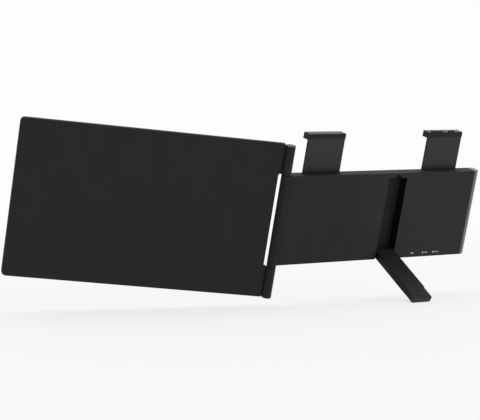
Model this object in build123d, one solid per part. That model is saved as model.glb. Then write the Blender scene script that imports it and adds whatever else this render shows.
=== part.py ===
from build123d import *
import os

os.makedirs("parts", exist_ok=True)

# A second screen: a flat base unit with two sliding hooks and a folding prop leg,
# and a screen panel hinged to the base's left end.
# Millimetres. Row frame: +Z true vertical, +X along the base away from the hinge,
# +Y from the rear towards the user, origin on the base's front face near its centre.
# The base is drawn in its own frame (X along it, Y through its thickness with 0 at
# the rear face, Z along the hinge axis) and then leant back and moved.

# ---- driving dimensions -------------------------------------------------------
LEAN = 15.0            # lean of the base, top towards the rear
BEND = 23.7            # bend of the screen towards the user, from coplanar
LEG_OPEN = 110.9       # leg angle from stowed

BX0, BX1 = -1.2, 353.8  # base left and right ends
END_X = 342.3           # where the end cap starts
BZ0, BZ1 = -63.15, 65.9  # base bottom and top
BT = 18.5               # base thickness
WALL = 2.0
COVER_T = 1.3           # front cover thickness

HX, HY = -3.8, 6.4      # hinge axis in the base frame
HR = 6.75               # barrel outer radius
HB = 5.2                # barrel bore radius
MID0, MID1 = -65.4, 66.1     # middle barrel
LOW0, LOW1 = -111.3, -67.0   # lower knuckle
UPP0, UPP1 = 67.3, 108.5     # upper knuckle
PIN_R = 3.5             # hinge pin radius
PIN_CLEAR = 0.05

PX0, PX1 = -370.4, -7.4  # panel left and right ends, from the hinge axis
PZ0, PZ1 = -111.3, 109.9  # panel bottom and top
PY0, PY1 = -0.6, 6.6      # panel rear and front faces, from the hinge axis
NOTCH_X = -10.9           # notch edge, from the hinge axis
NZ0, NZ1 = -66.1, 66.8    # notch bottom and top
P_CORNER = 6.2
PARTING = 5.2             # rear cover to bezel
ACT_W, ACT_H = 344.2, 193.6  # visible picture, 15.6 inch 16:9
ACT_X0, ACT_Z1 = -360.7, 101.1

SLOT_X0, SLOT_X1 = 178.3, 212.3  # leg pocket
SLOT_TOP, SLOT_D = 58.7, 14.2
LEG_X0, LEG_X1 = 178.9, 211.7
LEG_OUT, LEG_IN = 5.2, 5.4  # from the pivot to the leg's outer and inner faces
LEG_L = 107.4
LEG_STEP, TIP_IN, TIP_SIDE = 86.3, 4.35, 0.3  # the thinner, narrower tip
LEG_Y, LEG_Z = 5.4, -54.0  # leg pivot
LEG_PIN_R = 1.6

ARM_X = (30.95, 250.05)  # left edge of each arm
ARM_W = 66.2
ARM_Y0, ARM_Y1 = 14.1, 16.5
ARM_TOP = 114.5          # where the hook head starts, behind
SLIDER_Z0, SLIDER_Z1 = -10.3, 37.6
HEAD_Z1 = 122.0
HEAD_Y0, HEAD_Y1 = 13.9, 26.6
HEAD_Z0 = 113.0          # underside of the head in front of the arm
TONGUE_Z1 = 119.6        # top of the arm's tongue inside the head
LIP_Z0 = 104.5

PORTS = (("mini_video_port", 247.7, 11.4, 3.3), ("type_c_ports", 272.1, 9.0, 3.2), ("type_c_ports", 293.2, 9.0, 3.2))
PORT_Y = 7.2             # middle of the ports
BUTTON_Z = {"power_button": 20.0, "plus_button": 3.0, "minus_button": -11.0}
BUTTON_Y = 9.25

CX, CY, CZ = 170.4, BT, 1.9  # the origin, in the base frame


# ---- helpers ------------------------------------------------------------------
def box(x0, x1, y0, y1, z0, z1):
    return Pos((x0 + x1) / 2, (y0 + y1) / 2, (z0 + z1) / 2) * Box(x1 - x0, y1 - y0, z1 - z0)


def cz(x, y, r, z0, z1):
    return Pos(x, y, (z0 + z1) / 2) * Cylinder(r, z1 - z0)


def cy(x, z, r, y0, y1):
    return Pos(x, (y0 + y1) / 2, z) * Rot(90, 0, 0) * Cylinder(r, y1 - y0)


def cx(y, z, r, x0, x1):
    return Pos((x0 + x1) / 2, y, z) * Rot(0, 90, 0) * Cylinder(r, x1 - x0)


def group(*shapes):
    solids = []
    for s in shapes:
        solids += list(s.solids())
    return Compound(children=solids)


def round_y(shape, radius, where):
    """Rounds the edges along Y whose centre passes the test."""
    found = [e for e in shape.edges().filter_by(Axis.Y) if where(e.center())]
    return fillet(found, radius)


BASE = Rot(LEAN, 0, 0) * Pos(-CX, -CY, -CZ)
PANEL = BASE * Pos(HX, HY, 0) * Rot(0, 0, -BEND)
LEG = BASE * Pos(0, LEG_Y, LEG_Z) * Rot(LEG_OPEN, 0, 0)


def out(name, shape, frame):
    solids = list(shape.solids())
    moved = [frame * s for s in solids]
    result = moved[0] if len(moved) == 1 else Compound(children=moved)
    export_step(result, f"parts/{name}.step")


# ================================================================ base: rear cover
RIM = 1.3
rear = box(HX, END_X, 0, BT, BZ0, BZ1)
rear = fillet(rear.faces().sort_by(Axis.Y)[0].edges().filter_by(Axis.X), RIM)
rear = fillet(rear.faces().sort_by(Axis.Y)[-1].edges().filter_by(Axis.X), RIM)
rear -= box(HX - 1, BX0, 8.0, BT + 1, BZ0 - 1, BZ1 + 1)
rear += cz(HX, HY, HR, MID0, MID1)
# inside
rear -= box(BX0 + 4.4, END_X + 1, WALL, BT + 1, BZ0 + WALL, BZ1 - WALL)
rear -= cz(HX, HY, HB, MID0 - 1, MID1 + 1)
# leg pocket: a box of its own inside the cover, open to the rear and below
rear += box(SLOT_X0 - 1.6, SLOT_X1 + 1.6, 1.0, SLOT_D + 1.4, BZ0 + 1.0, SLOT_TOP + 1.6)
pocket = box(SLOT_X0, SLOT_X1, -1, SLOT_D, BZ0 - 1, SLOT_TOP)
pocket = round_y(pocket, 1.2, lambda c: c.Z > 0)
rear -= pocket
edge = [e for e in rear.edges().filter_by(Axis.Z) if abs(e.center().Y) < 0.01 and SLOT_X0 - 0.1 < e.center().X < SLOT_X1 + 0.1]
rear = fillet(edge, 0.5)
# finger notch over the leg's tip
notch_x = (SLOT_X0 + SLOT_X1) / 2
rear += box(notch_x - 8.4, notch_x + 8.4, 1.0, 6.6, SLOT_TOP, BZ1 - 0.8)
scoop = Pos(notch_x, 0, SLOT_TOP - 2.3) * Rot(90, 0, 0) * Cylinder(7.0, 10.4)
rear -= scoop & box(notch_x - 9, notch_x + 9, -1, 5.2, SLOT_TOP - 8, BZ1)
# leg pin holes in the pocket's side walls
rear -= cx(LEG_Y, LEG_Z, LEG_PIN_R, SLOT_X0 - 3, SLOT_X1 + 3)
# slots in the top wall for the arms
for a0 in ARM_X:
    rear -= box(a0 - 0.35, a0 + ARM_W + 0.35, 12.3, BT - COVER_T, BZ1 - WALL - 0.5, BZ1 + 1)
# port openings in the bottom wall
for _, px, pw, ph in PORTS:
    rear -= box(px - pw / 2 - 0.3, px + pw / 2 + 0.3, PORT_Y - ph / 2 - 0.3, PORT_Y + ph / 2 + 0.3, BZ0 - 1, BZ0 + WALL + 0.5)
# window for the cable between the base and the barrel
CABLE_Z = -38.0
rear -= box(HX, BX0 + 5, HY - 2.8, HY + 2.8, CABLE_Z - 4.5, CABLE_Z + 3.0)
# screw posts for the front cover
POSTS = [(14.0, -52.0), (14.0, 54.0), (112.0, -52.0), (112.0, 54.0), (168.0, 54.0), (228.0, 56.0), (332.0, -48.0), (330.0, 56.0)]
for px, pz in POSTS:
    rear += cy(px, pz, 3.2, 1.0, BT - COVER_T)
    rear -= cy(px, pz, 1.0, 9.0, BT)
# standoffs for the control board
STANDOFFS = [(226.0, -56.0), (226.0, -13.0), (322.0, -13.0), (322.0, -56.0)]
for px, pz in STANDOFFS:
    rear += cy(px, pz, 2.6, 1.0, 4.0)
    rear -= cy(px, pz, 0.8, 2.4, 5.0)
out("base_rear_cover", rear, BASE)

# ================================================================ base: end cap with the button openings
END_RX, END_RY = BX1 - END_X, BT / 2  # seen from above: elliptical towards the rear, squarer towards the front
END_R = 3.5


def end_plan(rx, ry, corner, z0, z1):
    whole = Pos(END_X, END_RY, (z0 + z1) / 2) * extrude(Ellipse(rx, ry), amount=(z1 - z0) / 2, both=True)
    behind = whole & box(END_X, BX1 + 5, -5, END_RY, z0 - 1, z1 + 1)
    ahead = box(END_X, END_X + rx, END_RY, END_RY + ry, z0, z1)
    ahead = fillet([e for e in ahead.edges().filter_by(Axis.Z) if e.center().X > END_X + 1 and e.center().Y > END_RY + 1], corner)
    return behind + ahead


end = end_plan(END_RX, END_RY, END_R, BZ0, BZ1)
for level in (-1, 0):
    loop = [e for e in end.faces().sort_by(Axis.Z)[level].edges() if e.center().X > END_X + 0.5]
    end = fillet(loop, RIM)
# a lip that pushes into the rear cover
end += box(END_X - 3.0, END_X + 1.0, WALL + 0.05, BT - COVER_T - 0.05, BZ0 + WALL + 0.05, BZ1 - WALL - 0.05)
end -= box(END_X - 4.0, END_X + 1.1, 3.6, 15.6, BZ0 + 3.6, BZ1 - 3.6)
room = end_plan(END_RX - WALL, END_RY - WALL, END_R - WALL, BZ0 + WALL, BZ1 - WALL)
end -= room & box(END_X + 1.0, BX1, 0, BT, BZ0, BZ1)
# ribs that hold the button board
for rz in (-26.0, 34.0):
    end += box(BX1 - 8.0, BX1 - 4.5, 2.3, 12.0, rz - 1, rz + 1)
# button openings, with a flat seat inside for each button's flange
for bz in BUTTON_Z.values():
    end -= box(BX1 - WALL - 4, BX1 - WALL, BUTTON_Y - 3.2, BUTTON_Y + 3.2, bz - 5.7, bz + 5.7)
    end -= box(BX1 - WALL - 1, BX1 + 1, BUTTON_Y - 2.1, BUTTON_Y + 2.1, bz - 4.6, bz + 4.6)
out("base_end_cap", end, BASE)

# ================================================================ base: front cover
front = box(BX0 + 4.6, END_X - 0.1, BT - COVER_T, BT, BZ0 + WALL + 0.2, BZ1 - WALL - 0.2)
front = round_y(front, 1.0, lambda c: c.X < 100)
for px, pz in POSTS:
    front -= cy(px, pz, 1.1, 10, BT + 1)
    front -= cy(px, pz, 2.1, BT - 0.8, BT + 1)
PADS = [(22.0, 100.0, -46.0, -38.0), (240.0, 318.0, -46.0, -38.0), (22.0, 100.0, 40.0, 48.0), (240.0, 318.0, 40.0, 48.0)]
pads = []
for x0, x1, z0, z1 in PADS:
    pad = box(x0, x1, BT - 0.7, BT, z0, z1)
    pad = fillet(pad.edges().filter_by(Axis.Y), 3.5)
    front -= pad
    pads.append(pad)
out("base_front_cover", front, BASE)
out("grip_pads", group(*pads), BASE)

screws = []
for px, pz in POSTS:
    s = cy(px, pz, 1.0, 12.0, BT - 0.75) + cy(px, pz, 1.9, BT - 0.8, BT - 0.15)
    s -= Pos(px, BT - 0.15, pz) * Box(0.5, 0.7, 2.0)
    s -= Pos(px, BT - 0.15, pz) * Box(2.0, 0.7, 0.5)
    screws.append(s)
out("cover_screws", group(*screws), BASE)

# ================================================================ base: electronics
board = box(222.0, 327.0, 4.0, 5.6, -59.4, -9.0)
for px, pz in STANDOFFS:
    board -= cy(px, pz, 0.9, 3, 7)
out("control_board", board, BASE)

bs = []
for px, pz in STANDOFFS:
    bs.append(cy(px, pz, 0.8, 2.6, 5.65) + cy(px, pz, 1.7, 5.6, 6.8))
out("board_screws", group(*bs), BASE)

chips = [
    box(262.0, 276.0, 5.6, 6.9, -34.0, -20.0),
    box(284.0, 292.0, 5.6, 6.8, -30.0, -22.0),
    box(298.0, 304.0, 5.6, 7.4, -44.0, -38.0),
    box(240.0, 247.0, 5.6, 8.8, -42.0, -35.0),
    box(250.0, 257.0, 5.6, 8.8, -42.0, -35.0),
    box(308.0, 318.0, 5.6, 6.8, -32.0, -24.0),
    cy(236.0, -20.0, 3.1, 5.6, 9.6),
    cy(244.5, -20.0, 3.1, 5.6, 9.6),
    box(223.0, 229.0, 5.6, 8.0, -46.5, -29.5),
]
out("board_chips", group(*chips), BASE)

ports = {}
for name, px, pw, ph in PORTS:
    shell = box(px - pw / 2, px + pw / 2, PORT_Y - ph / 2, PORT_Y + ph / 2, BZ0 + 0.3, BZ0 + 8.0)
    edge = [e for e in shell.edges().filter_by(Axis.Z)]
    if name == "type_c_ports":
        shell = fillet(edge, 1.5)
        mouth = fillet(box(px - pw / 2 + 0.35, px + pw / 2 - 0.35, PORT_Y - ph / 2 + 0.35, PORT_Y + ph / 2 - 0.35, BZ0 - 1, BZ0 + 6.6).edges().filter_by(Axis.Z), 1.15)
        tongue = box(px - 3.3, px + 3.3, PORT_Y - 0.35, PORT_Y + 0.35, BZ0 + 1.0, BZ0 + 7.0)
    else:
        shell = chamfer([e for e in edge if e.center().Y > PORT_Y], 1.0)
        mouth = box(px - pw / 2 + 0.4, px + pw / 2 - 0.4, PORT_Y - ph / 2 + 0.4, PORT_Y + ph / 2 - 0.4, BZ0 - 1, BZ0 + 6.6)
        mouth = chamfer([e for e in mouth.edges().filter_by(Axis.Z) if e.center().Y > PORT_Y], 0.8)
        tongue = box(px - 4.2, px + 4.2, PORT_Y - 0.4, PORT_Y + 0.4, BZ0 + 1.0, BZ0 + 7.0)
    shell = shell - mouth + tongue
    # soldering feet down to the board
    for fx in (px - pw / 2 + 0.8, px + pw / 2 - 0.8):
        shell += box(fx - 0.4, fx + 0.4, 5.6, PORT_Y, BZ0 + 4.0, BZ0 + 6.0)
    # the shell stands on the board
    shell -= box(px - pw, px + pw, 3.0, 5.6, BZ0 - 2, BZ0 + 9)
    ports.setdefault(name, []).append(shell)
for name, shells in ports.items():
    out(name, group(*shells), BASE)

BBX = BX1 - 7.8
button_board = box(BBX, BBX + 1.4, 3.6, 14.5, -25.0, 33.0)
out("button_board", button_board, BASE)
switches = [box(BBX + 1.4, BBX + 3.0, BUTTON_Y - 2.0, BUTTON_Y + 2.0, bz - 2.0, bz + 2.0) + cx(BUTTON_Y, bz, 1.0, BBX + 2.9, BBX + 3.5) for bz in BUTTON_Z.values()]
out("button_switches", group(*switches), BASE)
for name, bz in BUTTON_Z.items():
    cap = box(BX1 - 2.2, BX1 + 0.7, BUTTON_Y - 1.9, BUTTON_Y + 1.9, bz - 4.4, bz + 4.4)
    cap = fillet(cap.edges().filter_by(Axis.X), 1.4)
    cap = fillet(cap.faces().sort_by(Axis.X)[-1].edges(), 0.4)
    cap += box(BX1 - 3.3, BX1 - 2.15, BUTTON_Y - 2.9, BUTTON_Y + 2.9, bz - 5.4, bz + 5.4)
    out(name, cap, BASE)

# ribbon from the board round the leg pocket to the hinge
RY = 0.25
ribbon = box(216.0, 223.0, 7.0 - RY, 7.0 + RY, -44.0, -32.0)
ribbon += box(215.5, 216.0, 7.0 - RY, 16.3 + RY, -44.0, -32.0)
ribbon += box(174.5, 216.0, 16.3 - RY, 16.3 + RY, -44.0, -32.0)
ribbon += box(174.0, 174.5, 6.4 - RY, 16.3 + RY, -44.0, -32.0)
ribbon += box(12.0, 174.5, 6.4 - RY, 6.4 + RY, -44.0, -32.0)
ribbon += box(7.0, 12.5, 4.4, 8.4, -44.0, -32.0)
out("display_ribbon", ribbon, BASE)

# ================================================================ base: arm guides
rails = []
for a0 in ARM_X:
    a1 = a0 + ARM_W
    left = box(a0 - 5.0, a0 - 0.6, 11.4, BT - COVER_T, BZ0 + 4.0, BZ1 - WALL - 0.1)
    left -= box(a0 - 2.25, a0, ARM_Y0 - 0.15, BT, BZ0 + 3.0, BZ1)
    right = box(a1 + 0.6, a1 + 5.0, 11.4, BT - COVER_T, BZ0 + 4.0, BZ1 - WALL - 0.1)
    right -= box(a1, a1 + 2.25, ARM_Y0 - 0.15, BT, BZ0 + 3.0, BZ1)
    rails += [left, right]
out("arm_guide_rails", group(*rails), BASE)

# a sprung strip behind each arm, on a block on the rear wall
blocks, springs = [], []
for a0 in ARM_X:
    mid = a0 + ARM_W / 2
    block = box(mid - 11.0, mid + 11.0, WALL, 11.6, 28.0, 62.0)
    block -= box(mid - 7.5, mid + 7.5, 9.8, 12.0, 30.5, 59.5)
    blocks.append(block)
    with BuildPart() as strip:
        with BuildSketch(Plane.YZ.offset(mid - 6.5)) as sk:
            with BuildLine():
                ThreePointArc((11.6, 29.0), (13.9, 45.0), (11.6, 61.0))
                Line((11.6, 61.0), (12.0, 61.0))
                ThreePointArc((12.0, 61.0), (14.0, 45.0), (12.0, 29.0))
                Line((12.0, 29.0), (11.6, 29.0))
            make_face()
        extrude(amount=13.0)
    springs.append(strip.part)
out("spring_blocks", group(*blocks), BASE)
out("arm_leaf_springs", group(*springs), BASE)

# ================================================================ arms and hooks
for side, a0 in zip(("left", "right"), ARM_X):
    a1 = a0 + ARM_W
    mid = (a0 + a1) / 2
    arm = box(a0, a1, ARM_Y0, ARM_Y1, SLIDER_Z1 - 1, ARM_TOP)
    arm = fillet([e for e in arm.edges().filter_by(Axis.Z) if e.center().Y < ARM_Y0 + 0.1], 1.7)
    arm = fillet([e for e in arm.edges().filter_by(Axis.Z) if e.center().Y > ARM_Y1 - 0.1], 0.4)
    arm += box(a0 + 3.0, a1 - 3.0, ARM_Y0, ARM_Y1, ARM_TOP - 0.5, TONGUE_Z1)
    shoe = box(a0 - 2.0, a1 + 2.0, ARM_Y0, ARM_Y1, SLIDER_Z0, SLIDER_Z1)
    shoe = fillet(shoe.edges().filter_by(Axis.Y), 1.0)
    arm += shoe
    hook_screw_x = (mid - 22.0, mid + 22.0)
    SCREW_Z = ARM_TOP + 2.6
    for sx in hook_screw_x:
        arm -= cy(sx, SCREW_Z, 0.9, ARM_Y0 + 0.9, ARM_Y1 + 1)
    out(f"arm_plate_{side}", arm, BASE)

    head = box(a0 + 0.3, a1 - 0.3, HEAD_Y0, HEAD_Y1, ARM_TOP, HEAD_Z1)
    head = fillet([e for e in head.edges().filter_by(Axis.Y) if e.center().Z > HEAD_Z1 - 1], 0.8)
    head = fillet(head.edges().filter_by(Axis.X).filter_by(lambda e: e.center().Z > HEAD_Z1 - 1), 0.45)
    block = box(a0 + 0.3, a1 - 0.3, ARM_Y1, HEAD_Y1, HEAD_Z0, ARM_TOP + 1.0)
    head += fillet([e for e in block.edges().filter_by(Axis.Y) if e.center().Z < HEAD_Z0 + 0.5], 0.6)
    lip = box(a0 + 10.0, a1 - 10.0, HEAD_Y1 - 1.8, HEAD_Y1, LIP_Z0, HEAD_Z0 + 1)
    lip = fillet([e for e in lip.edges().filter_by(Axis.Y) if e.center().Z < LIP_Z0 + 2], 4.0)
    lip = fillet([e for e in lip.edges().filter_by(Axis.X) if e.center().Z < LIP_Z0 + 1], 0.7)
    head += lip
    head -= box(a0 + 3.0, a1 - 3.0, ARM_Y0, ARM_Y1, ARM_TOP - 1, TONGUE_Z1)
    for sx in hook_screw_x:
        head -= cy(sx, SCREW_Z, 1.1, ARM_Y1 - 1, HEAD_Y1 + 1)
        head -= cy(sx, SCREW_Z, 2.0, HEAD_Y1 - 2.2, HEAD_Y1 + 1)
    if side == "right":
        insets = []
        # two low ribs let into the top, near its rear edge
        for x0, x1 in ((257.0, 279.6), (289.6, 301.7)):
            inset = box(x0, x1, 15.1, 18.1, HEAD_Z1 - 0.9, HEAD_Z1 + 1.35)
            inset = fillet(inset.edges().filter_by(Axis.Z), 1.2)
            head -= inset
            insets.append(fillet(inset.faces().sort_by(Axis.Z)[-1].edges(), 0.4))
        out("hook_top_insets", group(*insets), BASE)
    out(f"hook_head_{side}", head, BASE)

    pad = box(a0 + 11.0, a1 - 11.0, ARM_Y1 + 0.3, HEAD_Y1 - 1.8, HEAD_Z0 - 0.7, HEAD_Z0)
    pad += box(a0 + 11.0, a1 - 11.0, HEAD_Y1 - 2.5, HEAD_Y1 - 1.8, LIP_Z0 + 4.2, HEAD_Z0)
    out(f"hook_pad_{side}", pad, BASE)

    hs = []
    for sx in hook_screw_x:
        s = cy(sx, SCREW_Z, 0.9, ARM_Y0 + 1.2, HEAD_Y1 - 2.1) + cy(sx, SCREW_Z, 1.8, HEAD_Y1 - 2.2, HEAD_Y1 - 0.9)
        s -= Pos(sx, HEAD_Y1 - 0.9, SCREW_Z) * Box(0.5, 1.2, 1.9)
        s -= Pos(sx, HEAD_Y1 - 0.9, SCREW_Z) * Box(1.9, 1.2, 0.5)
        hs.append(s)
    out(f"hook_screws_{side}", group(*hs), BASE)

# ================================================================ leg (stowed frame, pivot at 0)
LX0, LX1 = LEG_X0, LEG_X1
TX0, TX1 = LX0 + TIP_SIDE, LX1 - TIP_SIDE
LEG_MID = (LX0 + LX1) / 2
LEG_SCREWS = (49.5, 92.4)
FOOT_S = 99.8   # where the rubber foot starts
outer = box(LX0, LX1, -LEG_OUT, 0.0, 0.0, LEG_STEP) + cx(0, 0, LEG_OUT, LX0, LX1)
outer += box(LX0, LX1, 0.0, LEG_IN, 0.0, 9.0)
outer = fillet([e for e in outer.edges().filter_by(Axis.Z) if e.center().Y < -LEG_OUT + 0.1], 0.8)
outer = fillet([e for e in outer.edges().filter_by(Axis.Z) if e.center().Y > LEG_IN - 0.1], 0.6)
tip = box(TX0, TX1, -LEG_OUT, 0.0, LEG_STEP - 1.0, FOOT_S)
outer += fillet([e for e in tip.edges().filter_by(Axis.Z) if e.center().Y < -LEG_OUT + 0.1], 0.8)
outer -= box(LX0 + 2.0, LX1 - 2.0, -LEG_OUT + 1.6, 0.5, 10.5, FOOT_S - 1.6)
outer -= box(TX0 + 2.15, TX1 - 2.15, -LEG_OUT + 2.15, 0.5, FOOT_S - 2.0, FOOT_S + 1)
outer -= cx(0, 0, 3.0, LX0 - 1, LX0 + 7.0)
outer -= cx(0, 0, 3.0, LX1 - 7.0, LX1 + 1)
outer -= cx(0, 0, LEG_PIN_R + 0.3, LX0 - 1, LX1 + 1)
for s in LEG_SCREWS:
    outer += cy(LEG_MID, s, 2.6, -LEG_OUT + 1.0, 0.0)
    outer -= cy(LEG_MID, s, 0.8, -LEG_OUT + 1.4, 0.5)
out("leg_outer_shell", outer, LEG)

# the thick part slopes down to the tip
slope = Polygon((0.0, 9.0), (LEG_IN, 9.0), (LEG_IN, LEG_STEP - 2.6), (TIP_IN, LEG_STEP), (0.0, LEG_STEP), align=None)
inner = Pos(LX0, 0, 0) * extrude(Plane.YZ * slope, amount=LX1 - LX0)
inner = fillet([e for e in inner.edges().filter_by(Axis.Z) if e.center().Y > LEG_IN - 0.1], 0.6)
tip = box(TX0, TX1, 0.0, TIP_IN, LEG_STEP - 1.0, FOOT_S)
inner += fillet([e for e in tip.edges().filter_by(Axis.Z) if e.center().Y > TIP_IN - 0.1], 0.6)
inner -= box(LX0 + 2.0, LX1 - 2.0, -0.5, TIP_IN - 1.5, 10.6, FOOT_S - 1.6)
inner -= box(TX0 + 2.15, TX1 - 2.15, -0.5, TIP_IN - 2.15, FOOT_S - 2.0, FOOT_S + 1)
for s, face in zip(LEG_SCREWS, (LEG_IN, TIP_IN)):
    inner += cy(LEG_MID, s, 2.6, 0.0, face - 1.0)
    inner -= cy(LEG_MID, s, 0.9, -0.5, face + 1)
    inner -= cy(LEG_MID, s, 1.7, face - 1.7, face + 1)
out("leg_inner_shell", inner, LEG)

ls = []
for s, face in zip(LEG_SCREWS, (LEG_IN, TIP_IN)):
    q = cy(LEG_MID, s, 0.8, -LEG_OUT + 1.8, face - 1.65) + cy(LEG_MID, s, 1.55, face - 1.7, face - 0.7)
    q -= Pos(LEG_MID, face - 0.7, s) * Box(0.5, 0.9, 1.7)
    q -= Pos(LEG_MID, face - 0.7, s) * Box(1.7, 0.9, 0.5)
    ls.append(q)
out("leg_screws", group(*ls), LEG)

foot = box(TX0, TX1, -LEG_OUT, TIP_IN, FOOT_S, LEG_L)
foot = fillet([e for e in foot.edges().filter_by(Axis.Y) if e.center().Z > LEG_L - 1], 1.6)
foot = fillet([e for e in foot.edges().filter_by(Axis.X) if e.center().Z > LEG_L - 1 and e.center().Y > 0], 0.8)
# flat that lies on the desk when the leg is out
DESK_DROP = 65.9
slab = Pos(LEG_MID, 0, 0) * Rot(-(LEG_OPEN + LEAN), 0, 0) * Pos(0, 0, -DESK_DROP - 10) * Box(60, 400, 20)
foot -= slab
for gz in (101.9, 104.5):
    foot -= box(TX0 + 2.5, TX1 - 2.5, TIP_IN - 0.5, TIP_IN + 1, gz - 0.45, gz + 0.45)
foot += box(TX0 + 2.2, TX1 - 2.2, -LEG_OUT + 2.2, TIP_IN - 2.2, FOOT_S - 1.5, FOOT_S + 0.5)
out("leg_foot", foot, LEG)

bushes = [cx(0, 0, 3.0, a, b) - cx(0, 0, LEG_PIN_R + PIN_CLEAR, a - 1, b + 1) for a, b in ((LX0, LX0 + 7.0), (LX1 - 7.0, LX1))]
out("leg_bushes", group(*bushes), LEG)
out("leg_pin", cx(LEG_Y, LEG_Z, LEG_PIN_R, SLOT_X0 - 1.5, SLOT_X1 + 1.5), BASE)

# ================================================================ screen panel (hinge axis at 0)
case = box(PX0, PX1, PY0, PARTING, PZ0, PZ1)
case = round_y(case, P_CORNER, lambda c: c.X < -300)
case = round_y(case, 1.2, lambda c: c.X > -20)
gap = box(NOTCH_X, 2, PY0 - 1, PARTING + 1, NZ0, NZ1)
gap = round_y(gap, 1.9, lambda c: c.X < NOTCH_X + 0.5)
case -= gap
rim = list(case.faces().sort_by(Axis.Y)[0].edges())
case = fillet(rim, 1.0)
inside = box(PX0 + 1.4, PX1 - 1.4, 0.6, PARTING + 1, PZ0 + 1.4, PZ1 - 1.4)
inside = round_y(inside, P_CORNER - 1.4, lambda c: c.X < -300)
keep = box(NOTCH_X - 1.4, 2, 0, PARTING + 2, NZ0 - 1.4, NZ1 + 1.4)
case -= inside - keep
# doors for the hinge arms in the right wall
ARM_LOW = (-105.0, -73.0)
ARM_UPP = (73.0, 104.0)
for z0, z1 in (ARM_LOW, ARM_UPP):
    case -= box(PX1 - 1.5, PX1 + 1, 0.6, 4.9, z0 - 0.2, z1 + 0.2)
RIVETS = [(-16.0, 0.22), (-16.0, 0.78), (-40.0, 0.5), (-62.0, 0.22), (-62.0, 0.78)]
rivet_at = [(rx, z0 + t * (z1 - z0)) for z0, z1 in (ARM_LOW, ARM_UPP) for rx, t in RIVETS]
for rx, rz in rivet_at:
    case -= cy(rx, rz, 1.0, 0.0, 2.0)
# bosses the display module is screwed to
EARS = [(-365.2, -70.0), (-365.2, 0.0), (-365.2, 70.0), (-300.0, 105.2), (-190.0, 105.2), (-80.0, 105.2), (-330.0, -100.6)]
for sx, sz in EARS:
    case += cy(sx, sz, 1.9, 0.4, 2.1)
    case -= cy(sx, sz, 0.7, 0.2, 2.2)
out("panel_rear_cover", case, PANEL)

bezel = box(PX0, PX1, PARTING, PY1, PZ0, PZ1)
bezel = round_y(bezel, P_CORNER, lambda c: c.X < -300)
bezel = round_y(bezel, 1.2, lambda c: c.X > -20)
gap = box(NOTCH_X, 2, PARTING - 1, PY1 + 1, NZ0, NZ1)
gap = round_y(gap, 1.9, lambda c: c.X < NOTCH_X + 0.5)
bezel -= gap
rim = list(bezel.faces().sort_by(Axis.Y)[-1].edges())
bezel = fillet(rim, 0.6)
AX0, AX1 = ACT_X0, ACT_X0 + ACT_W
AZ0, AZ1 = ACT_Z1 - ACT_H, ACT_Z1
bezel -= box(AX0 - 0.4, AX1 + 0.4, PARTING - 1, PY1 + 1, AZ0 - 0.4, AZ1 + 0.4)
# ribs that snap inside the rear cover's walls
bezel += box(PX0 + 1.5, PX0 + 2.3, 4.0, PARTING + 0.3, -95.0, 95.0)
bezel += box(-345.0, -30.0, 4.0, PARTING + 0.3, PZ1 - 2.3, PZ1 - 1.5)
bezel += box(-345.0, -30.0, 4.0, PARTING + 0.3, PZ0 + 1.5, PZ0 + 2.3)
out("screen_bezel", bezel, PANEL)

ps = []
for sx, sz in EARS:
    s = cy(sx, sz, 0.7, 0.5, 2.5) + cy(sx, sz, 1.5, 2.4, 3.2)
    s -= Pos(sx, 3.2, sz) * Box(0.4, 0.8, 1.6)
    s -= Pos(sx, 3.2, sz) * Box(1.6, 0.8, 0.4)
    ps.append(s)
out("module_screws", group(*ps), PANEL)

# display stack, rear to front
MX0, MX1 = AX0 - 1.8, AX1 + 1.8
MZ0, MZ1 = AZ0 - 3.0, AZ1 + 1.8
plate = box(MX0 - 0.3, MX1 + 0.3, 2.1, 2.4, MZ0 - 2.0, MZ1 + 0.3)
for sx, sz in EARS:
    if sx < -360:
        plate += box(sx - 1.8, MX0, 2.1, 2.4, sz - 4.0, sz + 4.0)
    elif sz > 0:
        plate += box(sx - 4.0, sx + 4.0, 2.1, 2.4, MZ1, sz + 2.4)
    else:
        plate += box(sx - 4.0, sx + 4.0, 2.1, 2.4, sz - 2.4, MZ0)
for sx, sz in EARS:
    plate -= cy(sx, sz, 0.75, 2, 3)
out("display_back_plate", plate, PANEL)
out("reflector_sheet", box(MX0, MX1, 2.4, 2.55, MZ0, MZ1), PANEL)
out("light_guide_plate", box(MX0, MX1, 2.55, 3.95, MZ0 + 2.6, MZ1), PANEL)
out("led_strip", box(MX0 + 4, MX1 - 4, 2.55, 3.9, MZ0, MZ0 + 2.4), PANEL)
out("diffuser_sheets", box(MX0, MX1, 3.95, 4.3, MZ0, MZ1), PANEL)
out("lcd_glass", box(MX0, MX1, 4.3, 5.15, MZ0, MZ1), PANEL)

driver = box(-300.0, -96.0, 2.6, 3.4, PZ0 + 2.6, MZ0 - 3.0)
driver += box(-102.0, -96.0, 1.6, 4.3, -104.0, -99.4)
out("display_driver_board", driver, PANEL)
flexes = []
for fx in (-270.0, -198.0, -126.0):
    f = box(fx - 14, fx + 14, 3.4, 3.55, MZ0 - 7.0, MZ0 - 0.35)
    f += box(fx - 14, fx + 14, 3.4, 4.75, MZ0 - 0.35, MZ0 - 0.2)
    f += box(fx - 14, fx + 14, 4.6, 4.75, MZ0 - 0.35, MZ0)
    flexes.append(f)
out("driver_flexes", group(*flexes), PANEL)

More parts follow.
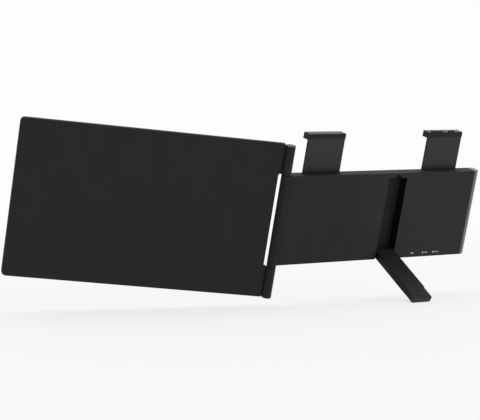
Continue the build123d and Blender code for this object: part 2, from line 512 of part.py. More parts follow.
# ---- hinge knuckles with their arms into the panel
def knuckle(z0, z1, a0, a1, cable_at=None):
    k = cz(0, 0, HR, z0, z1)
    k += box(PX1 + 0.05, -3.0, 0.7, 4.8, z0, z1)
    k += box(PX1 - 1.3, -3.0, 0.7, 4.8, a0, a1)
    k += box(-70.0, PX1 - 1.0, 0.65, 1.65, a0, a1)
    k -= cz(0, 0, HB, z0 - 1, z1 + 1)
    if cable_at is not None:
        k -= box(PX1 - 2, 0, 1.75, 4.15, cable_at - 1.5, cable_at + 1.5)
    for rx, rz in rivet_at:
        if a0 < rz < a1:
            k -= cy(rx, rz, 1.0, 0, 3)
    return k


CABLE_DOWN = -101.8
out("hinge_knuckle_lower", knuckle(LOW0 + 1.2, LOW1, *ARM_LOW, cable_at=CABLE_DOWN), PANEL)
out("hinge_knuckle_upper", knuckle(UPP0, UPP1 - 1.2, *ARM_UPP), PANEL)
out("hinge_rivets", group(*[cy(rx, rz, 1.0, 0.0, 1.7) + cy(rx, rz, 1.8, 1.65, 2.0) for rx, rz in rivet_at]), PANEL)


def cap(z_out, z_in, plug):
    lo, hi = min(z_out, z_in), max(z_out, z_in)
    c = cz(0, 0, HR, lo, hi)
    face = c.faces().sort_by(Axis.Z)[-1 if z_out > z_in else 0]
    c = fillet(face.edges(), 0.5)
    return c + cz(0, 0, HB, min(z_in, plug), max(z_in, plug))


out("knuckle_cap_lower", cap(LOW0, LOW0 + 1.2, LOW0 + 3.2), PANEL)
out("knuckle_cap_upper", cap(UPP1, UPP1 - 1.2, UPP1 - 3.2), PANEL)

# ---- hinge pins: a collar held in the knuckle and a shaft up into the barrel
low_pin = cz(0, 0, HB, -83.0, LOW1 - 0.1) + cz(0, 0, PIN_R, -84.0, -44.0)
low_pin -= cz(0, 0, 2.2, -85.0, -43.0)
out("hinge_pin_lower", low_pin, PANEL)
upp_pin = cz(0, 0, HB, UPP1 - 26.0, UPP1 - 3.3) + cz(0, 0, HB, UPP0 + 0.1, UPP0 + 6.0) + cz(0, 0, PIN_R, 44.0, UPP1 - 3.4)
out("hinge_pin_upper", upp_pin, PANEL)
# thrust washers between the knuckles and the middle barrel
rings = [cz(0, 0, 5.8, z0, z1) - cz(0, 0, PIN_R + PIN_CLEAR, z0 - 1, z1 + 1) for z0, z1 in ((LOW1 + 0.1, MID0 - 0.1), (MID1 + 0.1, UPP0 - 0.1))]
out("hinge_thrust_washers", group(*rings), PANEL)
# friction sleeves fixed in the middle barrel
out("hinge_sleeve_lower", Pos(HX, HY, 0) * (cz(0, 0, HB, MID0 + 0.4, -51.0) - cz(0, 0, PIN_R + PIN_CLEAR, MID0, -50.0)), BASE)
out("hinge_sleeve_upper", Pos(HX, HY, 0) * (cz(0, 0, HB, 51.0, MID1 - 0.4) - cz(0, 0, PIN_R + PIN_CLEAR, 50.0, MID1)), BASE)
# spring washers and nuts on the pins, beyond the sleeves
washers, nuts = [], []
for sgn in (-1, 1):
    for i in range(3):
        z = sgn * (50.6 - 1.1 * i)
        washers.append(cz(0, 0, 4.7, min(z, z - sgn * 0.9), max(z, z - sgn * 0.9)) - cz(0, 0, PIN_R, -70, 70))
    z0, z1 = sorted((sgn * 47.2, sgn * 44.4))
    nut = Pos(0, 0, (z0 + z1) / 2) * extrude(RegularPolygon(4.7, 6), amount=(z1 - z0) / 2, both=True)
    nuts.append(nut - cz(0, 0, PIN_R, -70, 70))
out("hinge_washers", group(*washers), PANEL)
out("hinge_nuts", group(*nuts), PANEL)

# ---- the cable through the lower hinge, in two lengths that meet inside the pin
R_CABLE = 1.7
path = FilletPolyline((11.5, HY, CABLE_Z), (HX, HY, CABLE_Z), (HX, HY, -66.0), radius=4.6)
cable_base = sweep(Plane(origin=path @ 0, z_dir=path % 0) * Circle(R_CABLE), path=path)
cable_base -= box(6.9, 13.0, 4.0, 9.0, -45.0, -31.0)
out("hinge_cable_base", cable_base, BASE)
FLAT = 2.95
path = FilletPolyline((0, 0, -66.4), (0, 0, CABLE_DOWN + 5.0), (0, FLAT, CABLE_DOWN), (-95.9, FLAT, CABLE_DOWN), radius=2.0)
cable_panel = sweep(Plane(origin=path @ 0, z_dir=path % 0) * Circle(1.1), path=path)
out("hinge_cable_panel", cable_panel, PANEL)
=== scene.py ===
import math

import bmesh
import bpy
from mathutils import Matrix, Vector


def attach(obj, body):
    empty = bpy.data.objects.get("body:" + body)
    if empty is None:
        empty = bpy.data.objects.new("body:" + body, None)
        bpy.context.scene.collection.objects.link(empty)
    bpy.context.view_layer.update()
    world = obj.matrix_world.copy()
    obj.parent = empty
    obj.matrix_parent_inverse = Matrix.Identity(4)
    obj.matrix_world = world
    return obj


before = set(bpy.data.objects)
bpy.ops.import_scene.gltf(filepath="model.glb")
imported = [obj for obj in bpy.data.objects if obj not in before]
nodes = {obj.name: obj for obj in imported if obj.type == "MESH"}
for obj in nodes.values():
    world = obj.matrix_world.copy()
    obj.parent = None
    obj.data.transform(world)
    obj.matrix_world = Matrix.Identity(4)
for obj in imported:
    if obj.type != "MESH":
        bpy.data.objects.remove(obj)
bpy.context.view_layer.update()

scene = bpy.context.scene
scene.view_settings.view_transform = "Standard"
scene.view_settings.look = "None"

# ------------------------------------------------------------------ frames
# base frame: X along the base, Y from its rear face to the user, Z along the hinge, metres
LEAN = math.radians(15.0)
BEND = math.radians(23.7)
CENTRE = Vector((0.1704, 0.0185, 0.0019))
BASE = Matrix.Rotation(LEAN, 4, "X") @ Matrix.Translation(-CENTRE)
PANEL = BASE @ Matrix.Translation((-0.0038, 0.0064, 0)) @ Matrix.Rotation(-BEND, 4, "Z")
LEG = BASE @ Matrix.Translation((0.1953, 0.0054, -0.054)) @ Matrix.Rotation(math.radians(110.9), 4, "X")

# ------------------------------------------------------------------ camera
cam_data = bpy.data.cameras.new("camera")
cam = bpy.data.objects.new("camera", cam_data)
scene.collection.objects.link(cam)
cam_data.sensor_fit = "HORIZONTAL"
cam_data.sensor_width = 36.0
cam_data.lens = 148.16
cam_data.shift_x = -0.5 / 480
cam_data.shift_y = 0.5 / 480
cam_data.clip_start = 0.05
cam_data.clip_end = 60.0
right = Vector((0.80542181, -0.592702, -0.000692))
down = Vector((-0.03417157, -0.045270, -0.998390))
ahead = Vector((0.59171616, 0.804149, -0.056715))
m = Matrix((
    (right.x, -down.x, -ahead.x),
    (right.y, -down.y, -ahead.y),
    (right.z, -down.z, -ahead.z),
)).to_4x4()
m.translation = Vector((-1.8257, -2.16709, 0.16402))
cam.matrix_world = m
scene.camera = cam


# ------------------------------------------------------------------ materials
def material(name):
    mat = bpy.data.materials.new(name)
    mat.use_nodes = True
    tree = mat.node_tree
    bsdf = next(n for n in tree.nodes if n.type == "BSDF_PRINCIPLED")
    return mat, tree, bsdf


def coords(tree, scale=(1, 1, 1), turn=(0, 0, 0)):
    tc = tree.nodes.new("ShaderNodeTexCoord")
    mp = tree.nodes.new("ShaderNodeMapping")
    mp.inputs["Scale"].default_value = scale
    mp.inputs["Rotation"].default_value = turn
    tree.links.new(tc.outputs["Object"], mp.inputs["Vector"])
    return mp.outputs["Vector"]


def noise(tree, vec, scale, detail=3.0, rough=0.5):
    n = tree.nodes.new("ShaderNodeTexNoise")
    n.inputs["Scale"].default_value = scale
    n.inputs["Detail"].default_value = detail
    n.inputs["Roughness"].default_value = rough
    tree.links.new(vec, n.inputs["Vector"])
    return n.outputs["Fac"]


def ramp(tree, fac, stops):
    r = tree.nodes.new("ShaderNodeValToRGB")
    while len(r.color_ramp.elements) < len(stops):
        r.color_ramp.elements.new(0.5)
    for e, (pos, col) in zip(r.color_ramp.elements, stops):
        e.position = pos
        e.color = (*col, 1.0)
    tree.links.new(fac, r.inputs["Fac"])
    return r.outputs["Color"]


def spread(tree, fac, lo, hi):
    r = tree.nodes.new("ShaderNodeMapRange")
    r.inputs["From Min"].default_value = 0.3
    r.inputs["From Max"].default_value = 0.7
    r.inputs["To Min"].default_value = lo
    r.inputs["To Max"].default_value = hi
    tree.links.new(fac, r.inputs["Value"])
    return r.outputs["Result"]


def bump(tree, bsdf, height, strength, distance, chain=None):
    b = tree.nodes.new("ShaderNodeBump")
    b.inputs["Strength"].default_value = strength
    b.inputs["Distance"].default_value = distance
    tree.links.new(height, b.inputs["Height"])
    if chain is not None:
        tree.links.new(chain, b.inputs["Normal"])
    tree.links.new(b.outputs["Normal"], bsdf.inputs["Normal"])
    return b.outputs["Normal"]


def edge_wear(tree, radius):
    """0 on flat ground, towards 1 on corners tighter than the radius."""
    geo = tree.nodes.new("ShaderNodeNewGeometry")
    bev = tree.nodes.new("ShaderNodeBevel")
    bev.samples = 4
    bev.inputs["Radius"].default_value = radius
    dot = tree.nodes.new("ShaderNodeVectorMath")
    dot.operation = "DOT_PRODUCT"
    tree.links.new(geo.outputs["Normal"], dot.inputs[0])
    tree.links.new(bev.outputs["Normal"], dot.inputs[1])
    r = tree.nodes.new("ShaderNodeMapRange")
    r.inputs["From Min"].default_value = 0.995
    r.inputs["From Max"].default_value = 0.86
    r.inputs["To Min"].default_value = 0.0
    r.inputs["To Max"].default_value = 1.0
    tree.links.new(dot.outputs["Value"], r.inputs["Value"])
    return r.outputs["Result"]


def mix(tree, fac, a, b):
    x = tree.nodes.new("ShaderNodeMix")
    x.data_type = "RGBA"
    tree.links.new(fac, x.inputs["Factor"])
    for socket, value in ((x.inputs[6], a), (x.inputs[7], b)):
        if isinstance(value, tuple):
            socket.default_value = (*value, 1.0)
        else:
            tree.links.new(value, socket)
    return x.outputs[2]


def scaled(colour, k):
    return tuple(c * k for c in colour)


def moulded(name, colour, rough=0.5, spec=0.3, grain=0.00004, grain_scale=2600.0, wear=0.0):
    """Fine-grained moulded plastic or powder paint."""
    mat, tree, bsdf = material(name)
    vec = coords(tree)
    fine = noise(tree, vec, grain_scale, 2.0, 0.6)
    cloud = noise(tree, vec, 26.0, 4.0, 0.55)
    tone = ramp(tree, cloud, [(0.3, scaled(colour, 0.93)), (0.7, scaled(colour, 1.07))])
    speck = ramp(tree, fine, [(0.42, scaled(colour, 0.86)), (0.6, scaled(colour, 1.12))])
    half = tree.nodes.new("ShaderNodeMix")
    half.data_type = "RGBA"
    half.blend_type = "MIX"
    half.inputs["Factor"].default_value = 0.45
    tree.links.new(tone, half.inputs[6])
    tree.links.new(speck, half.inputs[7])
    out = half.outputs[2]
    if wear:
        out = mix(tree, edge_wear(tree, 0.0005), out, scaled(colour, 1.0 + wear))
    tree.links.new(out, bsdf.inputs["Base Color"])
    tree.links.new(spread(tree, noise(tree, vec, 90.0, 3.0), rough - 0.03, rough + 0.04), bsdf.inputs["Roughness"])
    bsdf.inputs["Specular IOR Level"].default_value = spec
    bump(tree, bsdf, fine, 0.5, grain)
    return mat


def metal(name, colour, rough=0.3, turn=(0, 0, 0), stretch=(1, 1, 60), lines=900.0, depth=0.00001, metallic=1.0):
    """Drawn, brushed or turned metal: fine lines along one axis."""
    mat, tree, bsdf = material(name)
    vec = coords(tree, stretch, turn)
    hair = noise(tree, vec, lines, 2.0, 0.6)
    tree.links.new(ramp(tree, hair, [(0.3, scaled(colour, 0.82)), (0.7, scaled(colour, 1.1))]), bsdf.inputs["Base Color"])
    tree.links.new(spread(tree, hair, rough - 0.06, rough + 0.08), bsdf.inputs["Roughness"])
    bsdf.inputs["Metallic"].default_value = metallic
    bump(tree, bsdf, hair, 0.35, depth)
    return mat


def rubber(name, colour, rough=0.75):
    mat, tree, bsdf = material(name)
    vec = coords(tree)
    fine = noise(tree, vec, 1500.0, 4.0, 0.7)
    tree.links.new(ramp(tree, noise(tree, vec, 60.0, 4.0), [(0.3, scaled(colour, 0.8)), (0.75, scaled(colour, 1.3))]), bsdf.inputs["Base Color"])
    tree.links.new(spread(tree, fine, rough - 0.05, rough + 0.1), bsdf.inputs["Roughness"])
    bsdf.inputs["Specular IOR Level"].default_value = 0.25
    bump(tree, bsdf, fine, 0.6, 0.00005)
    return mat


def placed(tree, turn, shift):
    """The mesh's own coordinates turned into the frame of one piece, metres, as three sockets."""
    tc = tree.nodes.new("ShaderNodeTexCoord")
    mp = tree.nodes.new("ShaderNodeMapping")
    mp.inputs["Rotation"].default_value = (turn, 0, 0)
    mp.inputs["Location"].default_value = shift
    tree.links.new(tc.outputs["Object"], mp.inputs["Vector"])
    axes = tree.nodes.new("ShaderNodeSeparateXYZ")
    tree.links.new(mp.outputs["Vector"], axes.inputs[0])
    return axes.outputs["X"], axes.outputs["Y"], axes.outputs["Z"]


def rise(tree, source, lo, hi, a, b):
    """A soft step from a to b."""
    r = tree.nodes.new("ShaderNodeMapRange")
    r.interpolation_type = "SMOOTHSTEP"
    r.inputs["From Min"].default_value = lo
    r.inputs["From Max"].default_value = hi
    r.inputs["To Min"].default_value = a
    r.inputs["To Max"].default_value = b
    tree.links.new(source, r.inputs["Value"])
    return r.outputs["Result"]


def times(tree, colour, factor):
    v = tree.nodes.new("ShaderNodeVectorMath")
    v.operation = "SCALE"
    tree.links.new(colour, v.inputs[0])
    tree.links.new(factor, v.inputs["Scale"])
    return v.outputs["Vector"]


def leg_painted_shade(mat):
    """Painted shade on the leg: its two sides are painted a little darker than its faces, and its colour is painted
    lighter towards its thinner tip.
    """
    tree = mat.node_tree
    bsdf = next(n for n in tree.nodes if n.type == "BSDF_PRINCIPLED")
    plain = bsdf.inputs["Base Color"].links[0].from_socket
    shift = Matrix.Rotation(math.radians(-110.9), 3, "X") @ (CENTRE - Vector((0, 0.0054, -0.054)))
    x, y, z = placed(tree, -LEAN - math.radians(110.9), shift)
    off = tree.nodes.new("ShaderNodeMath")
    off.operation = "SUBTRACT"
    tree.links.new(x, off.inputs[0])
    off.inputs[1].default_value = 0.1953
    away = tree.nodes.new("ShaderNodeMath")
    away.operation = "ABSOLUTE"
    tree.links.new(off.outputs[0], away.inputs[0])
    # painted light: the colour rises from the shaded root towards the tip
    tone = times(tree, plain, rise(tree, z, 0.055, 0.089, 1.17, 1.62))
    # painted shade: the two sides of the leg are darkened
    tone = times(tree, tone, rise(tree, away.outputs[0], 0.01585, 0.01615, 1.0, 0.35))
    tree.links.new(tone, bsdf.inputs["Base Color"])
    return mat


def cover_painted_shade(mat, floor_shade, wall_shade, barrel_shade):
    """Painted shade in the leg's pocket: its floor and its far wall take darker tones where the recess holds shade.
    The hinge barrel takes painted shade too, a little darker than the flat faces, and a painted highlight lightens
    the cover away from it."""
    tree = mat.node_tree
    bsdf = next(n for n in tree.nodes if n.type == "BSDF_PRINCIPLED")
    plain = bsdf.inputs["Base Color"].links[0].from_socket
    x, y, z = placed(tree, -LEAN, CENTRE)
    # painted highlight: the cover's colour rises from 0.895 times near the hinge to 1.15 times towards the far end
    plain = times(tree, plain, rise(tree, x, 0.090, 0.190, 0.895, 1.15))

    def test(source, op, value):
        n = tree.nodes.new("ShaderNodeMath")
        n.operation = op
        tree.links.new(source, n.inputs[0])
        n.inputs[1].default_value = value
        return n.outputs[0]

    def both(a, b):
        n = tree.nodes.new("ShaderNodeMath")
        n.operation = "MULTIPLY"
        tree.links.new(a, n.inputs[0])
        tree.links.new(b, n.inputs[1])
        return n.outputs[0]

    # painted shade: the pocket's floor and far wall are darkened
    inside = both(both(test(x, "GREATER_THAN", 0.1780), test(x, "LESS_THAN", 0.2126)),
                  both(both(test(y, "GREATER_THAN", 0.0006), test(y, "LESS_THAN", 0.0150)), test(z, "LESS_THAN", 0.0640)))
    shaded = mix(tree, inside, plain, floor_shade)
    wall = both(inside, test(x, "GREATER_THAN", 0.2121))
    shaded = mix(tree, wall, shaded, wall_shade)
    # painted shade: the hinge barrel is darkened
    tree.links.new(mix(tree, test(x, "LESS_THAN", 0.0029), shaded, barrel_shade), bsdf.inputs["Base Color"])
    return mat


GREY = (0.0205, 0.0205, 0.0207)
mats = {
    # the cover carries painted shade in the leg's pocket and on the hinge barrel, and a painted highlight towards its
    # far end
    "cover": cover_painted_shade(moulded("cover_plastic", GREY, rough=0.58, spec=0.12, wear=0.3), scaled(GREY, 0.75), scaled(GREY, 0.2), scaled(GREY, 0.72)),
    # the panel's cover is the same grey plastic, scaled by 0.955 as painted shade for how light falls on the panel
    "panel": moulded("panel_plastic", scaled(GREY, 0.955), rough=0.58, spec=0.12, wear=0.3),
    "bezel": moulded("bezel_plastic", (0.006, 0.006, 0.0063), rough=0.42, spec=0.35, wear=0.3),
    # the end cap is a lighter plastic than the cover, and part of its lightness is painted highlight for the bright
    # band along the rounded end
    "end": moulded("end_cap_plastic", (0.058, 0.058, 0.0585), rough=0.26, spec=0.95, grain=0.00002, wear=0.3),
    "knuckle": moulded("knuckle_paint", scaled(GREY, 0.77), rough=0.5, spec=0.14, grain=0.00003, wear=0.3),
    "cap": moulded("cap_paint", scaled(GREY, 1.2), rough=0.4, spec=0.4, wear=0.4),
    "head": moulded("head_plastic", scaled(GREY, 0.28), rough=0.32, spec=0.2, wear=0.3),
    # the leg takes painted shade on its sides and painted light towards its tip
    "leg": leg_painted_shade(moulded("leg_plastic", (0.0097, 0.0097, 0.0098), rough=0.5, spec=0.16, wear=0.3)),
    "button": moulded("button_plastic", (0.006, 0.006, 0.0064), rough=0.4, spec=0.35, wear=0.3),
    "rail": moulded("rail_plastic", (0.004, 0.004, 0.0042), rough=0.55, spec=0.25),
    "inset": moulded("inset_plastic", (0.004, 0.004, 0.0041), rough=0.45, spec=0.25, grain=0.00002),
    "sleeve": moulded("sleeve_acetal", (0.5, 0.49, 0.45), rough=0.4, spec=0.4),
    "rubber": rubber("pad_rubber", (0.0055, 0.0055, 0.0056)),
    "foot": rubber("foot_rubber", (0.0225, 0.0225, 0.0227), 0.6),
    "cable": rubber("cable_jacket", (0.004, 0.004, 0.0042), 0.6),
    "arm": metal("arm_anodised", (0.0236, 0.0236, 0.0239), 0.42, stretch=(60, 60, 1), lines=60.0, depth=0.000008, metallic=0.55),
    "steel": metal("plate_steel", (0.45, 0.45, 0.45), 0.36, stretch=(1, 40, 40), lines=30.0),
    "screw": metal("screw_steel", (0.028, 0.028, 0.03), 0.38, stretch=(1, 1, 1), lines=1800.0, metallic=0.8),
    "pin": metal("pin_steel", (0.5, 0.5, 0.5), 0.22, stretch=(1, 1, 40), lines=120.0),
    "port": metal("port_metal", (0.42, 0.42, 0.43), 0.28, stretch=(1, 1, 1), lines=1500.0),
}


def chip_board():
    mat, tree, bsdf = material("solder_mask")
    vec = coords(tree)
    vor = tree.nodes.new("ShaderNodeTexVoronoi")
    vor.feature = "DISTANCE_TO_EDGE"
    vor.distance = "MANHATTAN" if hasattr(vor, "distance") else vor.distance
    vor.inputs["Scale"].default_value = 420.0
    tree.links.new(vec, vor.inputs["Vector"])
    tree.links.new(ramp(tree, vor.outputs["Distance"], [(0.04, (0.012, 0.075, 0.03)), (0.09, (0.004, 0.035, 0.014))]), bsdf.inputs["Base Color"])
    bsdf.inputs["Roughness"].default_value = 0.35
    bump(tree, bsdf, vor.outputs["Distance"], 0.3, 0.00004)
    return mat


def display():
    """A switched-off display: nearly black, faintly blue, with the dots of its anti-glare film."""
    mat, tree, bsdf = material("display_face")
    vec = coords(tree)
    spark = noise(tree, vec, 5200.0, 1.0, 0.5)
    cloud = noise(tree, vec, 7.0, 2.0)
    tree.links.new(ramp(tree, cloud, [(0.3, (0.0022, 0.0025, 0.0032)), (0.7, (0.003, 0.0034, 0.0043))]), bsdf.inputs["Base Color"])
    tree.links.new(spread(tree, spark, 0.2, 0.3), bsdf.inputs["Roughness"])
    bsdf.inputs["Specular IOR Level"].default_value = 0.5
    bump(tree, bsdf, spark, 0.3, 0.00001)
    return mat


def milky(name, colour):
    mat, tree, bsdf = material(name)
    vec = coords(tree)
    dots = tree.nodes.new("ShaderNodeTexVoronoi")
    dots.inputs["Scale"].default_value = 600.0
    tree.links.new(vec, dots.inputs["Vector"])
    tree.links.new(ramp(tree, dots.outputs["Distance"], [(0.25, scaled(colour, 0.9)), (0.4, colour)]), bsdf.inputs["Base Color"])
    bsdf.inputs["Roughness"].default_value = 0.3
    return mat


def film(name, colour, traces):
    mat, tree, bsdf = material(name)
    vec = coords(tree, (1, 1, 1))
    wave = tree.nodes.new("ShaderNodeTexWave")
    wave.bands_direction = "Z"
    wave.inputs["Scale"].default_value = 320.0
    wave.inputs["Distortion"].default_value = 0.2
    tree.links.new(vec, wave.inputs["Vector"])
    tree.links.new(ramp(tree, wave.outputs["Fac"], [(0.45, colour), (0.6, traces)]), bsdf.inputs["Base Color"])
    bsdf.inputs["Roughness"].default_value = 0.35
    return mat


def printed(name, colour):
    mat, tree, bsdf = material(name)
    vec = coords(tree)
    worn = noise(tree, vec, 900.0, 3.0, 0.6)
    tree.links.new(ramp(tree, worn, [(0.3, scaled(colour, 0.85)), (0.65, scaled(colour, 1.05))]), bsdf.inputs["Base Color"])
    bsdf.inputs["Roughness"].default_value = 0.55
    return mat


mats["board"] = chip_board()
mats["display"] = display()
mats["sheet"] = milky("backlight_sheet", (0.7, 0.71, 0.74))
mats["led"] = milky("led_row", (0.8, 0.74, 0.45))
mats["flex"] = film("flex_film", (0.23, 0.09, 0.012), (0.4, 0.17, 0.03))
mats["chip"] = moulded("chip_black", (0.006, 0.006, 0.006), rough=0.45, spec=0.3, grain=0.00002)
mats["print"] = printed("pale_print", (0.36, 0.36, 0.37))

WEARS = {
    "cover": ["base_rear_cover", "base_front_cover"],
    "panel": ["panel_rear_cover"],
    "end": ["base_end_cap"],
    "bezel": ["screen_bezel"],
    "display": ["lcd_glass"],
    "sheet": ["light_guide_plate", "diffuser_sheets", "reflector_sheet"],
    "led": ["led_strip"],
    "board": ["control_board", "button_board", "display_driver_board"],
    "chip": ["board_chips", "button_switches"],
    "flex": ["display_ribbon", "driver_flexes"],
    "cable": ["hinge_cable_base", "hinge_cable_panel"],
    "steel": ["display_back_plate", "arm_leaf_springs", "hinge_washers", "hinge_nuts", "hinge_rivets"],
    "screw": ["cover_screws", "board_screws", "module_screws", "hook_screws_left", "hook_screws_right", "leg_screws"],
    "pin": ["hinge_pin_lower", "hinge_pin_upper", "leg_pin"],
    "knuckle": ["hinge_knuckle_lower", "hinge_knuckle_upper"],
    "cap": ["knuckle_cap_lower", "knuckle_cap_upper"],
    "sleeve": ["hinge_sleeve_lower", "hinge_sleeve_upper", "leg_bushes"],
    "port": ["type_c_ports", "mini_video_port"],
    "rail": ["arm_guide_rails", "spring_blocks", "hinge_thrust_washers"],
    "arm": ["arm_plate_left", "arm_plate_right"],
    "head": ["hook_head_left", "hook_head_right"],
    "rubber": ["hook_pad_left", "hook_pad_right", "grip_pads"],
    "foot": ["leg_foot"],
    "inset": ["hook_top_insets"],
    "leg": ["leg_outer_shell", "leg_inner_shell"],
    "button": ["power_button", "plus_button", "minus_button"],
}
for key, names in WEARS.items():
    for name in names:
        o = nodes[name]
        o.data.materials.clear()
        o.data.materials.append(mats[key])
left = set(nodes) - {n for names in WEARS.values() for n in names}
assert not left, left


# ------------------------------------------------------------------ small printed marks and glyphs
def piece(name, bm, mat, place, body):
    bmesh.ops.recalc_face_normals(bm, faces=bm.faces)
    mesh = bpy.data.meshes.new(name)
    bm.to_mesh(mesh)
    bm.free()
    mesh.transform(place)
    o = bpy.data.objects.new(name, mesh)
    scene.collection.objects.link(o)
    mesh.materials.append(mat)
    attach(o, body)
    return o


def prism(bm, outline, y0, y1):
    """A closed prism from an outline in X and Z, from y0 to y1."""
    a = [bm.verts.new((x, y0, z)) for x, z in outline]
    b = [bm.verts.new((x, y1, z)) for x, z in outline]
    bm.faces.new(a)
    bm.faces.new(list(reversed(b)))
    n = len(outline)
    for i in range(n):
        bm.faces.new((a[i], b[i], b[(i + 1) % n], a[(i + 1) % n]))


def capsule(x0, x1, z, r, n=14):
    """A stadium outline from x0 to x1, a disc where they are equal."""
    pts = []
    for i in range(n + 1):
        t = -math.pi / 2 + math.pi * i / n
        pts.append((x1 + r * math.cos(t), z + r * math.sin(t)))
    for i in range(n + 1):
        t = math.pi / 2 + math.pi * i / n
        pts.append((x0 + r * math.cos(t), z + r * math.sin(t)))
    if x0 == x1:
        pts = [(x0 + r * math.cos(2 * math.pi * i / (2 * n)), z + r * math.sin(2 * math.pi * i / (2 * n))) for i in range(2 * n)]
    return pts


MM = 0.001
bm = bmesh.new()
GZ = -56.6 * MM
for x0, x1, r in ((245.9, 249.5, 1.05), (268.1, 268.1, 1.6), (272.5, 276.5, 0.8), (288.3, 288.3, 1.55), (291.4, 294.2, 0.75), (297.0, 297.0, 1.3)):
    prism(bm, capsule(x0 * MM, x1 * MM, GZ, r * MM), -0.04 * MM, 0.05 * MM)
piece("port_marks", bm, mats["print"], BASE, "base")


def side_prism(bm, outline, x0, x1):
    """A closed prism from an outline in Y and Z, from x0 to x1."""
    a = [bm.verts.new((x0, y, z)) for y, z in outline]
    b = [bm.verts.new((x1, y, z)) for y, z in outline]
    bm.faces.new(list(reversed(a)))
    bm.faces.new(b)
    n = len(outline)
    for i in range(n):
        bm.faces.new((a[i], a[(i + 1) % n], b[(i + 1) % n], b[i]))


# bare glyphs on the button faces: a ring with a stroke, a plus and a minus
FACE_X, FACE_Y = 354.5 * MM, 9.25 * MM
X0, X1 = FACE_X - 0.04 * MM, FACE_X + 0.02 * MM


def bar(cy, cz, hy, hz):
    return [(cy - hy, cz - hz), (cy + hy, cz - hz), (cy + hy, cz + hz), (cy - hy, cz + hz)]


bm = bmesh.new()
N = 28
for i in range(N):
    # an arc open at the top for the stroke
    t0 = math.radians(125 + 290 * i / N)
    t1 = math.radians(125 + 290 * (i + 1) / N)
    ring = [(math.cos(t) * r * MM, math.sin(t) * r * MM) for t, r in ((t0, 0.85), (t1, 0.85), (t1, 1.15), (t0, 1.15))]
    side_prism(bm, [(FACE_Y + y, 0.020 + z) for y, z in ring], X0, X1)
side_prism(bm, bar(FACE_Y, 0.02075, 0.00014, 0.00055), X0, X1)
piece("power_glyph", bm, mats["print"], BASE, "power_key")
bm = bmesh.new()
side_prism(bm, bar(FACE_Y, 0.003, 0.001, 0.00016), X0, X1)
side_prism(bm, bar(FACE_Y, 0.003, 0.00016, 0.001), X0, X1 + 0.004 * MM)
piece("plus_glyph", bm, mats["print"], BASE, "plus_key")
bm = bmesh.new()
side_prism(bm, bar(FACE_Y, -0.011, 0.001, 0.00016), X0, X1)
piece("minus_glyph", bm, mats["print"], BASE, "minus_key")

# ------------------------------------------------------------------ floor
FLOOR_Z = -0.1235
bm = bmesh.new()
bmesh.ops.create_circle(bm, cap_ends=True, segments=96, radius=14.0)
mesh = bpy.data.meshes.new("floor")
bm.to_mesh(mesh)
bm.free()
floor = bpy.data.objects.new("floor", mesh)
floor.location = (0, 0, FLOOR_Z)
scene.collection.objects.link(floor)
mat, tree, bsdf = material("pale_floor")
tc = tree.nodes.new("ShaderNodeTexCoord")
length = tree.nodes.new("ShaderNodeVectorMath")
length.operation = "LENGTH"
tree.links.new(tc.outputs["Object"], length.inputs[0])
fade = tree.nodes.new("ShaderNodeMapRange")
fade.inputs["From Min"].default_value = 0.45
fade.inputs["From Max"].default_value = 1.8
fade.inputs["To Min"].default_value = 0.74
tree.links.new(length.outputs["Value"], fade.inputs["Value"])
tree.links.new(ramp(tree, noise(tree, coords(tree), 40.0, 5.0), [(0.3, (0.80, 0.80, 0.80)), (0.7, (0.84, 0.84, 0.84))]), bsdf.inputs["Base Color"])
bsdf.inputs["Roughness"].default_value = 0.7
bsdf.inputs["Specular IOR Level"].default_value = 0.2
glow = tree.nodes.new("ShaderNodeEmission")
glow.inputs["Color"].default_value = (1, 1, 1, 1)
glow.inputs["Strength"].default_value = 0.98
blend = tree.nodes.new("ShaderNodeMixShader")
out = next(n for n in tree.nodes if n.type == "OUTPUT_MATERIAL")
tree.links.new(fade.outputs["Result"], blend.inputs[0])
tree.links.new(bsdf.outputs[0], blend.inputs[1])
tree.links.new(glow.outputs[0], blend.inputs[2])
tree.links.new(blend.outputs[0], out.inputs["Surface"])
floor.data.materials.append(mat)

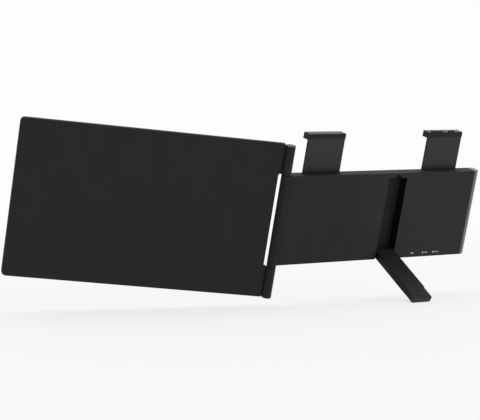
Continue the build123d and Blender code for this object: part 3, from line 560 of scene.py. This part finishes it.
# ------------------------------------------------------------------ light
world = bpy.data.worlds.new("studio")
scene.world = world
world.use_nodes = True
wt = world.node_tree
bg = next(n for n in wt.nodes if n.type == "BACKGROUND")
bg.inputs["Color"].default_value = (1, 1, 1, 1)
# the room is a little darker on the hinge side and brighter in front, by direction
sky = wt.nodes.new("ShaderNodeTexCoord")
axes = wt.nodes.new("ShaderNodeSeparateXYZ")
wt.links.new(sky.outputs["Generated"], axes.inputs[0])


def sky_range(source, lo, hi, a, b):
    r = wt.nodes.new("ShaderNodeMapRange")
    r.interpolation_type = "SMOOTHSTEP"
    r.inputs["From Min"].default_value = lo
    r.inputs["From Max"].default_value = hi
    r.inputs["To Min"].default_value = a
    r.inputs["To Max"].default_value = b
    wt.links.new(source, r.inputs["Value"])
    return r.outputs["Result"]


level = wt.nodes.new("ShaderNodeMath")
level.operation = "ADD"
wt.links.new(sky_range(axes.outputs["X"], -1.0, 1.0, 0.36, 0.78), level.inputs[0])
wt.links.new(sky_range(axes.outputs["Y"], 0.0, 0.7, 0.0, 0.3), level.inputs[1])
wt.links.new(level.outputs[0], bg.inputs["Strength"])
seen = wt.nodes.new("ShaderNodeBackground")
seen.inputs["Color"].default_value = (1, 1, 1, 1)
seen.inputs["Strength"].default_value = 0.98
path = wt.nodes.new("ShaderNodeLightPath")
both = wt.nodes.new("ShaderNodeMixShader")
wout = next(n for n in wt.nodes if n.type == "OUTPUT_WORLD")
wt.links.new(path.outputs["Is Camera Ray"], both.inputs[0])
wt.links.new(bg.outputs[0], both.inputs[1])
wt.links.new(seen.outputs[0], both.inputs[2])
wt.links.new(both.outputs[0], wout.inputs["Surface"])


def area(name, place, target, size, watts, colour=(1, 1, 1)):
    data = bpy.data.lights.new(name, "AREA")
    data.shape = "RECTANGLE"
    data.size, data.size_y = size
    data.energy = watts
    data.color = colour
    o = bpy.data.objects.new(name, data)
    scene.collection.objects.link(o)
    o.location = place
    o.rotation_euler = (Vector(target) - Vector(place)).to_track_quat("-Z", "Y").to_euler()
    return o


area("overhead", (0.1, 0.2, 2.2), (0, 0, 0), (2.6, 2.2), 24)
area("fill", (1.6, -2.4, 0.9), (0.1, 0, 0), (1.6, 1.2), 10)
